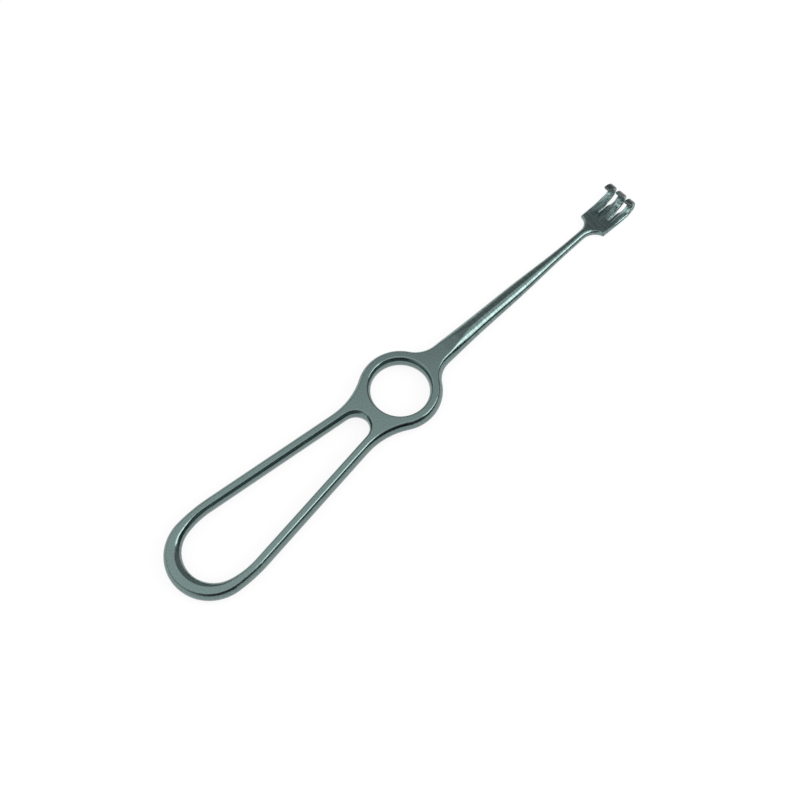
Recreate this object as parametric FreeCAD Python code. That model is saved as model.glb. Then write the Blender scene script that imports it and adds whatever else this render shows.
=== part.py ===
import FreeCAD, Part
import math
import os

from FreeCAD import Vector

# A one-piece hand retractor, forged and ground from one bar of steel: a long grip loop,
# a finger ring, a shank that narrows to a round neck, and a small flat blade cut into
# three blunt prongs that are bent up and back into hooks.
# Lengths are in millimetres, angles in degrees. While the shape is made, x runs from the
# centre of the finger ring to the prongs, y is to the left and z is up from the underside.

# Finger ring
handle_thickness = 6.5
ring_outer_radius = 15.15
ring_wall = 4.65
ring_throat_rounding = 1.25

# Grip loop, outside. A drop is how far a round end stands inside the lines of the bars.
loop_length = 103.1
loop_end_drop = 1.05
loop_shoulder_radius = 60.0
bar_station = 45.0
bar_half_width = 12.02
bar_taper = 7.0
waist_radius = 26.0
outer_rounding = 1.5

# Grip loop, the long opening
opening_end_wall = 6.45
opening_end_drop = 1.15
opening_shoulder_radius = 28.3
opening_side_wall = 4.15
opening_bridge = 1.45
opening_rounding = 1.1
opening_rear_rounding = 2.4

# Shank, from the ring along its belly to the round neck
root_fillet = 10.0
root_land = 1.5
root_half_width = 4.0
root_taper = 2.3
grip_station = 42.0
grip_half_width = 3.27
crown_station = 37.0
crown_flat = 0.2
belly_station = 60.0
belly_half_width = 2.82
belly_height = 4.6
waist_station = 77.0
waist_half_width = 2.0
neck_diameter = 3.25

# Blade, whose right shoulder is ground fuller than the left one
blade_station = 100.25
blade_length = 5.8
shoulder_thickness = 2.6
blade_thickness = 1.5
blade_half_width = 5.9
blade_splay = 1.5
blade_rounding = 0.5
shoulder_radii = (5.2, 7.2)

# Slots between the prongs
slot_length = 7.15
slot_offset = 2.5
slot_end_offset = 2.45
slot_root_width = 0.4
slot_end_width = 1.45
slot_widening_share = 0.6
slot_root_rounding = 0.08
slot_end_rounding = 0.35

# Hooks, the left one first
rise_radius = 26.0
rise_turn = 9.0
hook_radius = 4.25
hook_turns = (183.0, 160.0, 173.0)
tip_thickness = 1.25
tip_rounding = 0.45

# How far the bulging walls and the crowned shank turn, from their middle to an edge
wall_sweep = 50.0
crown_sweep = 82.0

# How finely the curved forms are stepped, and how closely their ends meet
joint_tolerance = 0.001
wall_levels = 6
stem_steps = 12
shoulder_steps = 6
blade_steps = 3
rise_steps = 5
bend_steps = 9
tip_angles = (35.0, 65.0, 85.0)

# Where one form meets the next
ring_throat_radius = ring_outer_radius - ring_wall
opening_rear = loop_length - opening_end_wall
opening_front = ring_outer_radius + opening_bridge
fillet_reach = math.sqrt((ring_outer_radius + root_fillet)**2 - (root_half_width + root_fillet)**2)
root_end = fillet_reach + root_land
neck_half = neck_diameter / 2
shoulder_depth = blade_half_width - neck_half
shoulder_turns = [math.acos(1 - shoulder_depth / radius) for radius in shoulder_radii]
shoulder_reaches = [radius * math.sin(turn) for radius, turn in zip(shoulder_radii, shoulder_turns)]
neck_station = blade_station - max(shoulder_reaches)
slot_start = blade_station + blade_length
hook_start = slot_start + slot_length
rise_start = hook_start - rise_radius * math.sin(math.radians(rise_turn))
rise_share = (rise_start - slot_start) / slot_length
rise_height = rise_radius * (1 - math.cos(math.radians(rise_turn)))
hook_centre = Vector(
    hook_start - hook_radius * math.sin(math.radians(rise_turn)),
    0,
    rise_height + hook_radius * math.cos(math.radians(rise_turn)),
)
up = Vector(0, 0, 1)


def flip(point):
    return Vector(point.x, -point.y, point.z)


def unit(vector):
    return Vector(vector).normalize()


def polar(radius, degrees):
    angle = math.radians(degrees)
    return Vector(radius * math.cos(angle), radius * math.sin(angle), 0)


def between(first, last, share):
    return first + (last - first) * share


def ease(share):
    """A smooth step from 0 to 1."""
    return share * share * (3 - 2 * share)


def meet(normal, distance, centre, radius, side):
    """Where the line normal . p = distance crosses a circle, on the given side of its foot."""
    gap = distance - normal.dot(centre)
    along = Vector(normal.y, -normal.x, 0)
    reach = math.sqrt(radius**2 - gap**2)
    return centre + normal * gap + along * (reach * side)


def stretch(start, finish, centre=None):
    """A straight edge, or an arc of under half a turn about a centre."""
    if centre is None:
        return Part.LineSegment(start, finish).toShape()
    radius = (start - centre).Length
    middle = centre + unit(unit(start - centre) + unit(finish - centre)) * radius
    return Part.Arc(start, middle, finish).toShape()


def cap(start, centre, direction):
    """A round end in two arcs, from a point to its mirror image, bulging along x."""
    crown = centre + Vector(direction, 0, 0) * (start - centre).Length
    return [stretch(start, crown, centre), stretch(crown, flip(start), centre)]


def mirrored_wire(half, front_centre, rear_centre):
    """A closed outline from its left half, which runs from the front to the rear."""
    front, rear = half[0][0], half[-1][1]
    edges = [stretch(*piece) for piece in half]
    edges += cap(rear, rear_centre, -1)
    for start, finish, centre in reversed(half):
        edges.append(stretch(flip(finish), flip(start), centre and flip(centre)))
    edges += cap(flip(front), front_centre, 1) if front_centre else [stretch(flip(front), front)]
    return Part.Wire(edges)


def levels(height, sweep_degrees=wall_sweep):
    """Each level of a bulging wall: its height, and how rounded it is.

    The wall is part of an ellipse, which the sweep takes from its middle to both edges.
    """
    sweep = math.radians(sweep_degrees)
    for step in range(wall_levels + 1):
        angle = sweep * (2 * step / wall_levels - 1)
        rise = 1 + math.sin(angle) / math.sin(sweep)
        yield height / 2 * rise, (1 - math.cos(angle)) / (1 - math.cos(sweep))


def curve_through(points):
    """A smooth curve with its points spread evenly, so that neighbouring curves match."""
    curve = Part.BSplineCurve()
    curve.interpolate(Points=points, Parameters=[float(step) for step in range(len(points))])
    return curve.toShape()


def loft(wires, ruled=False):
    """A solid through closed wires, smooth from end to end or straight between neighbours."""
    return Part.makeLoft(wires, True, ruled)


def walled_solid(outline, height):
    """A flat-topped solid whose outline changes level by level."""
    return loft([outline(z, rounded) for z, rounded in levels(height)])


def side_line(taper, station, half_width, inset):
    """Normal and distance of a straight side that closes in by the taper towards the prongs."""
    normal = polar(1, 90 - taper)
    return normal, normal.dot(Vector(station, half_width, 0)) - inset


def round_end(line, end, direction, drop, z):
    """Centre and radius of an end that stands inside both side lines by a small drop."""
    normal, distance = line
    radius = (distance - normal.x * end - drop) / (1 - normal.x * direction)
    return Vector(end - direction * radius, 0, z), radius


def loop_side(line, centre, radius, shoulder):
    """Where the side line, the shoulder arc and the round end at the rear follow on."""
    normal, distance = line
    shoulder_centre = meet(normal, distance - shoulder, centre, shoulder - radius, 1)
    line_end = shoulder_centre + normal * shoulder
    return shoulder_centre, line_end, centre + unit(centre - shoulder_centre) * radius


def handle_outline(z, rounded):
    """The grip loop, the finger ring and the root of the shank, seen from above."""
    inset = outer_rounding * rounded
    ring = ring_outer_radius - inset
    waist = waist_radius + inset
    fillet = root_fillet + inset
    bar, bar_distance = line = side_line(bar_taper, -bar_station, bar_half_width, inset)
    root, root_distance = side_line(root_taper, root_end, root_half_width - inset, 0)

    middle = Vector(0, 0, z)
    end_centre, end = round_end(line, inset - loop_length, -1, loop_end_drop, z)
    shoulder = loop_shoulder_radius - inset
    shoulder_centre, bar_rear, end_tangent = loop_side(line, end_centre, end, shoulder)
    waist_centre = meet(bar, bar_distance + waist, middle, ring + waist, -1)
    fillet_centre = meet(root, root_distance + fillet, middle, ring + fillet, 1)

    root_corner = Vector(root_end, (root_distance - root.x * root_end) / root.y, z)
    root_tangent = fillet_centre - root * fillet
    ring_front = middle + unit(fillet_centre - middle) * ring
    ring_rear = middle + unit(waist_centre - middle) * ring
    bar_front = waist_centre - bar * waist
    half = [
        (root_corner, root_tangent, None),
        (root_tangent, ring_front, fillet_centre),
        (ring_front, ring_rear, middle),
        (ring_rear, bar_front, waist_centre),
        (bar_front, bar_rear, None),
        (bar_rear, end_tangent, shoulder_centre),
    ]
    return mirrored_wire(half, None, end_centre)


def opening_outline(z, rounded):
    """The long opening between the bars, wider and longer at its rims."""
    spread = opening_rounding * rounded
    line = side_line(bar_taper, -bar_station, bar_half_width, opening_side_wall - spread)
    rear = -opening_rear - opening_rear_rounding * rounded
    rear_centre, rear_radius = round_end(line, rear, -1, opening_end_drop, z)
    front_centre, front_radius = round_end(line, spread - opening_front, 1, 0, z)
    shoulder = opening_shoulder_radius + spread
    shoulder_centre, bar_rear, end_tangent = loop_side(line, rear_centre, rear_radius, shoulder)
    half = [
        (front_centre + line[0] * front_radius, bar_rear, None),
        (bar_rear, end_tangent, shoulder_centre),
    ]
    return mirrored_wire(half, front_centre, rear_centre)


def throat():
    """The round hole for the finger, whose wall bulges inwards."""
    wall = []
    for z, rounded in levels(handle_thickness):
        wall.append(Vector(ring_throat_radius + ring_throat_rounding * rounded, 0, z))
    axis_low = Vector(0, 0, 0)
    axis_high = Vector(0, 0, handle_thickness)
    profile = Part.Wire([
        stretch(axis_low, wall[0]),
        curve_through(wall),
        stretch(wall[-1], axis_high),
        stretch(axis_high, axis_low),
    ])
    return Part.Face(profile).revolve(axis_low, up, 360)


def handle():
    body = walled_solid(handle_outline, handle_thickness)
    opening = walled_solid(opening_outline, handle_thickness)
    return body.cut([opening, throat()])


def section(origin, rising, left, right, height, sweep=wall_sweep):
    """A closed section across the instrument, flat above and below, with bulging side walls.

    Each side is a pair: how far out its wall reaches, and where the flats end.
    """
    def wall(reach, flat):
        points = []
        for rise, rounded in levels(height, sweep):
            out = Vector(0, between(reach, flat, rounded), 0)
            points.append(origin + out + rising * (rise - height / 2))
        return points

    left_wall = wall(*left)
    right_wall = wall(*right)
    return Part.Wire([
        curve_through(left_wall),
        stretch(left_wall[-1], right_wall[-1]),
        curve_through(right_wall),
        stretch(right_wall[0], left_wall[0]),
    ])


def level_section(x, half_width, flat, height, sweep=wall_sweep):
    """A symmetrical section whose underside lies on the surface below."""
    sides = (half_width, flat), (-half_width, -flat)
    return section(Vector(x, 0, height / 2), up, *sides, height, sweep)


def guide(stations, first_slope, last_slope):
    """A smooth curve of a size along the shank, given as a function of x."""
    curve = Part.BSplineCurve()
    curve.interpolate(
        Points=[Vector(x, size, 0) for x, size in stations],
        Parameters=[x for x, size in stations],
        InitialTangent=Vector(1, first_slope, 0),
        FinalTangent=Vector(1, last_slope, 0),
    )
    return lambda x: curve.value(x).y


def stem():
    """Flat-topped at the ring, then crowned and oval, and almost round at the neck."""
    half_width = guide([
        (root_end, root_half_width),
        (grip_station, grip_half_width),
        (belly_station, belly_half_width),
        (waist_station, waist_half_width),
        (neck_station, neck_half),
    ], -math.tan(math.radians(root_taper)), 0)
    height = guide([
        (root_end, handle_thickness),
        (belly_station, belly_height),
        (neck_station, neck_diameter),
    ], 0, 0)
    sections = []
    for step in range(stem_steps + 1):
        x = between(root_end, neck_station, step / stem_steps)
        crowned = ease(min(1, (x - root_end) / (crown_station - root_end)))
        flat = between(half_width(x) - outer_rounding, crown_flat, crowned)
        sweep = between(wall_sweep, crown_sweep, crowned)
        sections.append(level_section(x, half_width(x), flat, height(x), sweep))
    return loft(sections, ruled=True)


def upright_section(x, sides, sweep=wall_sweep):
    """A section of the shoulders or the blade, which thin in one smooth curve to the prongs."""
    thickness = guide([
        (neck_station, neck_diameter),
        (blade_station, shoulder_thickness),
        (rise_start, blade_thickness),
    ], 0, 0)(x)
    return section(Vector(x, 0, thickness / 2), up, *sides, thickness, sweep)


def shoulder_share(x, radius, reach):
    """How far a concave shoulder has spread at x: 0 at the neck and 1 at the blade."""
    along = max(0, x - blade_station + reach)
    return min(1, (radius - math.sqrt(radius**2 - along**2)) / shoulder_depth)


def shoulder_side(share, sign):
    """How far out a shoulder's wall reaches, and where the flats end."""
    reach = between(neck_half, blade_half_width, share)
    flat = between(crown_flat, blade_half_width - blade_rounding, share)
    return sign * reach, sign * flat


def shoulders():
    """From the neck along the concave shoulders to the full width of the blade."""
    turn = shoulder_turns[shoulder_reaches.index(max(shoulder_reaches))]
    sections = []
    for step in range(shoulder_steps + 1):
        along = math.sin(turn * step / shoulder_steps) / math.sin(turn)
        x = between(neck_station, blade_station, along)
        left, right = [shoulder_share(x, *sizes) for sizes in zip(shoulder_radii, shoulder_reaches)]
        sides = shoulder_side(left, 1), shoulder_side(right, -1)
        sweep = between(crown_sweep, wall_sweep, max(left, right))
        sections.append(upright_section(x, sides, sweep))
    return loft(sections)


def blade_side(x):
    return blade_half_width + (x - blade_station) * math.tan(math.radians(blade_splay))


def blade():
    """The whole part of the blade, thinning from the shoulders to where the slots begin."""
    sections = []
    for step in range(blade_steps + 1):
        x = between(blade_station, slot_start, step / blade_steps)
        flat = blade_side(x) - blade_rounding
        sections.append(upright_section(x, ((blade_side(x), flat), (-blade_side(x), -flat))))
    return loft(sections)


def prong_sides(place, share):
    """Both sides of a prong, at a share of the way from the slot's root to the hook.

    The place is 1 for the left prong, 0 for the middle one and -1 for the right one.
    """
    widened = ease(max(0, share - slot_widening_share) / (1 - slot_widening_share))
    width = between(slot_root_width, slot_end_width, widened)
    offset = between(slot_offset, slot_end_offset, share)
    rounding = between(slot_root_rounding, slot_end_rounding, widened)
    outside = blade_side(between(slot_start, hook_start, share))
    outer = outside, outside - blade_rounding
    inner = offset + width / 2, offset + width / 2 + rounding
    middle = offset - width / 2, offset - width / 2 - rounding
    left, right = {1: (outer, inner), 0: (middle, middle), -1: (inner, outer)}[place]
    signs = {1: (1, 1), 0: (1, -1), -1: (-1, -1)}[place]
    return tuple(tuple(sign * y for y in side) for sign, side in zip(signs, (left, right)))


def narrowed(side, centre, amount):
    """A side pair moved towards the prong's centre line by an amount."""
    return tuple(y - math.copysign(amount, side[0] - centre) for y in side)


def rising_at(turned):
    return Vector(-math.sin(math.radians(turned)), 0, math.cos(math.radians(turned)))


def prong(place, turn):
    """One prong: along the blade, up a slight rise, round the hook, and a blunt rounded tip."""
    straight = []
    for step in range(blade_steps + 1):
        x = between(slot_start, rise_start, step / blade_steps)
        share = between(0, rise_share, step / blade_steps)
        straight.append(upright_section(x, prong_sides(place, share)))
    rise = []
    for step in range(rise_steps + 1):
        turned = rise_turn * step / rise_steps
        rising = rising_at(turned)
        origin = Vector(rise_start, 0, rise_radius) - rising * (rise_radius - blade_thickness / 2)
        sides = prong_sides(place, between(rise_share, 1, step / rise_steps))
        rise.append(section(origin, rising, *sides, blade_thickness))

    left, right = prong_sides(place, 1)
    centre_line = (left[0] + right[0]) / 2
    hook = []
    for step in range(bend_steps + 1):
        turned = between(rise_turn, turn, step / bend_steps)
        height = between(blade_thickness, tip_thickness, step / bend_steps)
        rising = rising_at(turned)
        origin = hook_centre - rising * (hook_radius - height / 2)
        hook.append(section(origin, rising, left, right, height))

    forward = Vector(rising.z, 0, -rising.x)
    tip = [hook[-1]]
    for degrees in tip_angles:
        angle = math.radians(degrees)
        shrink = tip_rounding * (1 - math.cos(angle))
        sides = narrowed(left, centre_line, shrink), narrowed(right, centre_line, shrink)
        tip_origin = origin + forward * (tip_rounding * math.sin(angle))
        tip.append(section(tip_origin, rising, *sides, height - 2 * shrink))
    return [loft(straight), loft(rise), loft(hook), loft(tip)]


def retractor():
    pieces = [stem(), shoulders(), blade()]
    for place, turn in zip((1, 0, -1), hook_turns):
        pieces += prong(place, turn)
    whole = handle().fuse(pieces, joint_tolerance)
    reach = hook_centre.x + hook_radius
    whole.translate(Vector((loop_length - reach) / 2, 0, 0))
    return whole


if __name__ == "__main__":
    os.makedirs("parts", exist_ok=True)
    shape = retractor()
    print("valid", shape.isValid(), "solids", len(shape.Solids), "volume", shape.Volume)
    shape.exportStep("parts/retractor.step")
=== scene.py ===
import math

import bpy
from mathutils import Matrix, Vector

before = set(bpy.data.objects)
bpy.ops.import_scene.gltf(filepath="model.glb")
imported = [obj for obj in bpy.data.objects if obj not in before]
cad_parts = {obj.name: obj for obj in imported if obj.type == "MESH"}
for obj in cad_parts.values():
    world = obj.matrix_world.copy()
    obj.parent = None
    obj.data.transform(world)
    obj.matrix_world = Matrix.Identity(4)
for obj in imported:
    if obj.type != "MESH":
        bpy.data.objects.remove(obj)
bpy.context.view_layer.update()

# Lengths are in metres, angles in degrees, and the camera's lens and sensor in millimetres.
# A span is a range of a value and what its two ends become: (low, high, to_low, to_high).

# Camera, at the photograph's angle
CAMERA_TARGET = Vector((-0.008422, -0.00157, 0.0))
CAMERA_DISTANCE = 0.46303
CAMERA_ELEVATION = 65.31
CAMERA_AZIMUTH = -133.762
CAMERA_LENS = 58.81
CAMERA_SENSOR = 36
CAMERA_NEAREST = 0.01

# Key lamp, with its brightness in whites
KEY_AZIMUTH = -56
KEY_ELEVATION = 37
KEY_DISTANCE = 1.0
KEY_WIDTH = 0.69
KEY_HEIGHT = 0.43
KEY_BRIGHTNESS = 3.2

# Surroundings, as brightness in whites by direction
SKY_BY_HEIGHT = (0.30, 0.75, 0.0, 1.1)
SKY_BY_SIDE = (0.56, 0.72, 1.0, 0.28)
LEFT_BY_SIDE = (0.3, 1.0, 0.0, 1.0)
LEFT_BY_HEIGHT = (0.1, 0.5, 0.45, 1.0)
RIGHT_BY_SIDE = (0.2, 0.9, 0.0, 0.35)
RIGHT_TURN = 0.6
DARKEST = 0.03
HORIZON = (0.038, 0.055, 1.0, 0.0)

# Floor
FLOOR_SIZE = 40.0
FLOOR_DROP = 0.00005
FLOOR_COLOUR = (0.9, 0.9, 0.9, 1.0)
FLOOR_GLOW = 1.07
FLOOR_GLOW_SHARE = 0.8

# Zones of the steel, along the retractor and above its underside
HANDLE_ALONG = (0.016, 0.030, 1.0, 0.0)
PRONGS_ALONG = (0.0955, 0.102, 0.0, 1.0)
HOOKS_ABOVE = (0.0045, 0.0070, 0.0, 1.0)
HANDLE_TOP = 0.0065

# Steel: its colours, how its marks change its shade, its roughness and its surface, and the
# painted shade, highlight and reflection in its colour
STEEL = (0.168, 0.236, 0.228, 1.0)
HOOK_STEEL = (0.118, 0.148, 0.142, 1.0)
CLOUD_SHADE = (0.3, 0.7, 0.95, 1.05)
GRAIN_SHADE = (0.3, 0.7, -0.22, 0.22)
ACROSS_SHADE = (0.35, 0.65, -0.22, 0.22)
# Lengthwise polishing streaks on the prongs, lightened in the colour as painted reflection
STREAKS_AND_PAINTED_REFLECTION = (0.42, 0.60, -0.3, 1.3)
# Painted shade: the handle's colour made darker towards its underside
FOOT_PAINTED_SHADE = (0.0025, 0.0050, 0.3, 0.0)
# Edges lightened in the colour: partly wear, partly painted highlight
EDGE_WEAR_AND_PAINTED_HIGHLIGHT = 0.25
CLOUD_ROUGHNESS = (0.35, 0.65, 0.13, 0.18)
GRAIN_ROUGHNESS = (0.3, 0.7, -0.02, 0.03)
PRONG_ROUGHNESS = 0.08
ACROSS_BUMP = 0.7
GRAIN_BUMP = 0.3
BUMP_STRENGTH = 0.13
BUMP_DEPTH = 0.00002

# Edges, rounded in the shading alone
EDGE_ROUNDING = 0.00035
EDGE_SAMPLES = 6
EDGE_FACING = (0.995, 0.93, 0.0, 1.0)
# How far the walls' shading turns up towards the flats, by share of the handle's height
WALL_ROUNDING = ((0.68, 0.0), (0.80, 0.15), (0.91, 0.05), (0.95, 0.16), (1.0, 0.40))


def heading(azimuth, elevation):
    """The unit direction at an azimuth from +X and an elevation."""
    a, e = math.radians(azimuth), math.radians(elevation)
    return Vector((math.cos(a) * math.cos(e), math.sin(a) * math.cos(e), math.sin(e)))


def aim(obj, place, target):
    """Puts a camera or lamp at a place, upright and looking at a target."""
    back = (place - target).normalized()
    right = Vector((0, 0, 1)).cross(back).normalized()
    axes = Matrix((right, back.cross(right), back)).transposed().to_4x4()
    obj.matrix_world = Matrix.Translation(place) @ axes


def add_camera():
    camera = bpy.data.objects.new("camera", bpy.data.cameras.new("camera"))
    bpy.context.scene.collection.objects.link(camera)
    camera.data.sensor_width = CAMERA_SENSOR
    camera.data.lens = CAMERA_LENS
    camera.data.clip_start = CAMERA_NEAREST
    away = heading(CAMERA_AZIMUTH, CAMERA_ELEVATION)
    aim(camera, CAMERA_TARGET + away * CAMERA_DISTANCE, CAMERA_TARGET)
    bpy.context.scene.camera = camera


def add_key_panel():
    """A soft rectangular lamp on the right."""
    lamp = bpy.data.lights.new("key_panel", "AREA")
    lamp.shape = "RECTANGLE"
    lamp.size = KEY_WIDTH
    lamp.size_y = KEY_HEIGHT
    lamp.energy = math.pi * KEY_WIDTH * KEY_HEIGHT * KEY_BRIGHTNESS
    panel = bpy.data.objects.new("key_panel", lamp)
    bpy.context.scene.collection.objects.link(panel)
    aim(panel, heading(KEY_AZIMUTH, KEY_ELEVATION) * KEY_DISTANCE, Vector((0, 0, 0)))


class Nodes:
    """Short ways to add and join shader nodes."""

    # The Mix node's two inputs and its result, whose names repeat, by its data type
    MIX_SOCKETS = {"VECTOR": (4, 5, 1), "RGBA": (6, 7, 2)}

    def __init__(self, tree):
        self.tree = tree
        self.tree.nodes.clear()

    def add(self, kind, inputs=None, **values):
        node = self.tree.nodes.new(kind)
        for key, value in values.items():
            setattr(node, key, value)
        for key, value in (inputs or {}).items():
            if isinstance(value, bpy.types.NodeSocket):
                self.tree.links.new(value, node.inputs[key])
            else:
                node.inputs[key].default_value = value
        return node

    def math(self, operation, first, second):
        return self.add("ShaderNodeMath", {0: first, 1: second}, operation=operation).outputs[0]

    def spread(self, value, span):
        """A value remapped over a span and held inside it."""
        low, high, to_low, to_high = span
        node = self.add("ShaderNodeMapRange", {
            "Value": value, "From Min": low, "From Max": high, "To Min": to_low, "To Max": to_high,
        })
        return node.outputs[0]

    def mix(self, kind, share, first, second):
        """From the first value to the second by a share."""
        start, end, result = self.MIX_SOCKETS[kind]
        node = self.add("ShaderNodeMix", {0: share, start: first, end: second}, data_type=kind)
        return node.outputs[result]

    def axes(self, place):
        parts = self.add("ShaderNodeSeparateXYZ", {0: place}).outputs
        return parts["X"], parts["Y"], parts["Z"]

    def noise(self, place, scale, detail, stretch=None):
        if stretch:
            place = self.add("ShaderNodeMapping", {"Vector": place, "Scale": stretch}).outputs[0]
        node = self.add("ShaderNodeTexNoise", {"Vector": place, "Scale": scale, "Detail": detail})
        return node.outputs["Fac"]

    def rounded_edges(self):
        """Softened normals at the edges, and how near an edge a point is."""
        soft = self.add("ShaderNodeBevel", {"Radius": EDGE_ROUNDING},
                        samples=EDGE_SAMPLES).outputs[0]
        true = self.add("ShaderNodeNewGeometry").outputs["Normal"]
        facing = self.add("ShaderNodeVectorMath", {0: soft, 1: true}, operation="DOT_PRODUCT")
        return soft, self.spread(facing.outputs["Value"], EDGE_FACING)

    def profile(self, value, points):
        """A value looked up along straight lines between points."""
        ramp = self.add("ShaderNodeValToRGB", {0: value})
        stops = ramp.color_ramp.elements
        stops[0].position = points[0][0]
        stops[-1].position = points[-1][0]
        for place, _ in points[1:-1]:
            stops.new(place)
        for stop, (_, level) in zip(stops, points):
            stop.color = (level, level, level, 1.0)
        return ramp.outputs[0]

    def turned_up(self, normal, share):
        """A normal turned towards straight up by a share."""
        turned = self.mix("VECTOR", share, normal, (0, 0, 1))
        return self.add("ShaderNodeVectorMath", {0: turned}, operation="NORMALIZE").outputs[0]


def steel_material():
    """Satin ground steel: grain, cross grinding marks, lengthwise streaks on the prongs lightened
    as painted reflection, painted shade low on the handle, and edges lightened by wear and painted
    highlight.
    """
    material = bpy.data.materials.new("satin_steel")
    material.use_nodes = True
    n = Nodes(material.node_tree)
    place = n.add("ShaderNodeTexCoord").outputs["Object"]
    x, _, z = n.axes(place)

    # Zones
    handle = n.spread(x, HANDLE_ALONG)
    prongs = n.spread(x, PRONGS_ALONG)
    hooks = n.math("MULTIPLY", prongs, n.spread(z, HOOKS_ABOVE))
    shank = n.math("SUBTRACT", n.math("SUBTRACT", 1.0, handle), prongs)
    flat_prongs = n.math("SUBTRACT", prongs, hooks)
    # Painted shade low on the handle's walls
    painted_foot_shade = n.math("MULTIPLY", handle, n.spread(z, FOOT_PAINTED_SHADE))

    # Marks
    cloud = n.noise(place, scale=55.0, detail=3.0)
    grain = n.noise(place, scale=2300.0, detail=2.0)
    across = n.noise(place, scale=2000.0, detail=2.0, stretch=(1.0, 0.1, 0.1))
    streak = n.noise(place, scale=1500.0, detail=3.0, stretch=(0.06, 1.0, 1.0))
    worn_normal, edge_wear_and_painted_highlight = n.rounded_edges()

    # Roughness
    rough = n.math("ADD", n.spread(cloud, CLOUD_ROUGHNESS), n.spread(grain, GRAIN_ROUGHNESS))
    rough = n.math("ADD", rough, n.math("MULTIPLY", prongs, PRONG_ROUGHNESS))

    # Colour
    shade = n.math("ADD", n.spread(cloud, CLOUD_SHADE), n.spread(grain, GRAIN_SHADE))
    # Painted shade: darker towards the handle's underside
    shade = n.math("MULTIPLY", shade, n.math("SUBTRACT", 1.0, painted_foot_shade))
    # Lighter edges: partly wear, partly painted highlight
    shade = n.math("ADD", shade, n.math("MULTIPLY", edge_wear_and_painted_highlight, EDGE_WEAR_AND_PAINTED_HIGHLIGHT))
    shade = n.math("ADD", shade, n.math("MULTIPLY", shank, n.spread(across, ACROSS_SHADE)))
    # Polishing streaks on the flat prongs, their lightness a painted reflection
    shade = n.math("ADD", shade, n.math("MULTIPLY", flat_prongs, n.spread(streak, STREAKS_AND_PAINTED_REFLECTION)))
    hue = n.mix("RGBA", hooks, STEEL, HOOK_STEEL)
    tint = n.add("ShaderNodeVectorMath", {0: hue, "Scale": shade}, operation="SCALE")

    # Surface
    brow = n.profile(n.math("DIVIDE", z, HANDLE_TOP), WALL_ROUNDING)
    rounded = n.turned_up(worn_normal, n.math("MULTIPLY", brow, handle))
    marks = n.math("ADD", n.math("MULTIPLY", across, ACROSS_BUMP),
                   n.math("MULTIPLY", grain, GRAIN_BUMP))
    bump = n.add("ShaderNodeBump", {
        "Strength": BUMP_STRENGTH, "Distance": BUMP_DEPTH, "Height": marks, "Normal": rounded,
    })
    shader = n.add("ShaderNodeBsdfPrincipled", {
        "Base Color": tint.outputs[0],
        "Metallic": 1.0,
        "Roughness": rough,
        "Normal": bump.outputs[0],
    })
    n.add("ShaderNodeOutputMaterial", {"Surface": shader.outputs[0]})
    return material


def floor_material():
    """White, kept from going grey in the view and in the metal, with a soft trace of shadow."""
    material = bpy.data.materials.new("white_floor")
    material.use_nodes = True
    n = Nodes(material.node_tree)
    rays = n.add("ShaderNodeLightPath").outputs
    seen = n.math("MAXIMUM", rays["Is Camera Ray"], rays["Is Glossy Ray"])
    seen = n.math("MAXIMUM", seen, rays["Is Transmission Ray"])
    plain = n.add("ShaderNodeBsdfDiffuse", {"Color": FLOOR_COLOUR})
    glow = n.add("ShaderNodeEmission", {"Color": (1, 1, 1, 1), "Strength": FLOOR_GLOW})
    share = n.math("MULTIPLY", seen, FLOOR_GLOW_SHARE)
    mix = n.add("ShaderNodeMixShader", {0: share, 1: plain.outputs[0], 2: glow.outputs[0]})
    n.add("ShaderNodeOutputMaterial", {"Surface": mix.outputs[0]})
    return material


def add_floor():
    bpy.ops.mesh.primitive_plane_add(size=FLOOR_SIZE, location=(0, 0, -FLOOR_DROP))
    floor = bpy.context.object
    floor.name = "floor"
    floor.data.materials.append(floor_material())


def add_world():
    """White low down and overhead, and between them dark in front, grey right and pale left."""
    world = bpy.data.worlds.new("studio")
    world.use_nodes = True
    n = Nodes(world.node_tree)
    x, y, z = n.axes(n.add("ShaderNodeTexCoord").outputs["Generated"])
    overhead = n.math("MULTIPLY", n.spread(z, SKY_BY_HEIGHT),
                      n.spread(n.math("ADD", x, y), SKY_BY_SIDE))
    left = n.math("MULTIPLY", n.spread(n.math("SUBTRACT", y, x), LEFT_BY_SIDE),
                  n.spread(z, LEFT_BY_HEIGHT))
    right = n.spread(n.math("ADD", x, n.math("MULTIPLY", y, RIGHT_TURN)), RIGHT_BY_SIDE)
    level = DARKEST
    for light in (right, overhead, left, n.spread(z, HORIZON)):
        level = n.math("MAXIMUM", light, level)
    sky = n.add("ShaderNodeBackground", {"Color": (1, 1, 1, 1), "Strength": level})
    n.add("ShaderNodeOutputWorld", {"Surface": sky.outputs[0]})
    bpy.context.scene.world = world


add_camera()
add_world()
add_floor()
add_key_panel()

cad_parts["retractor"].material_slots[0].material = steel_material()

bpy.context.scene.view_settings.view_transform = "Standard"
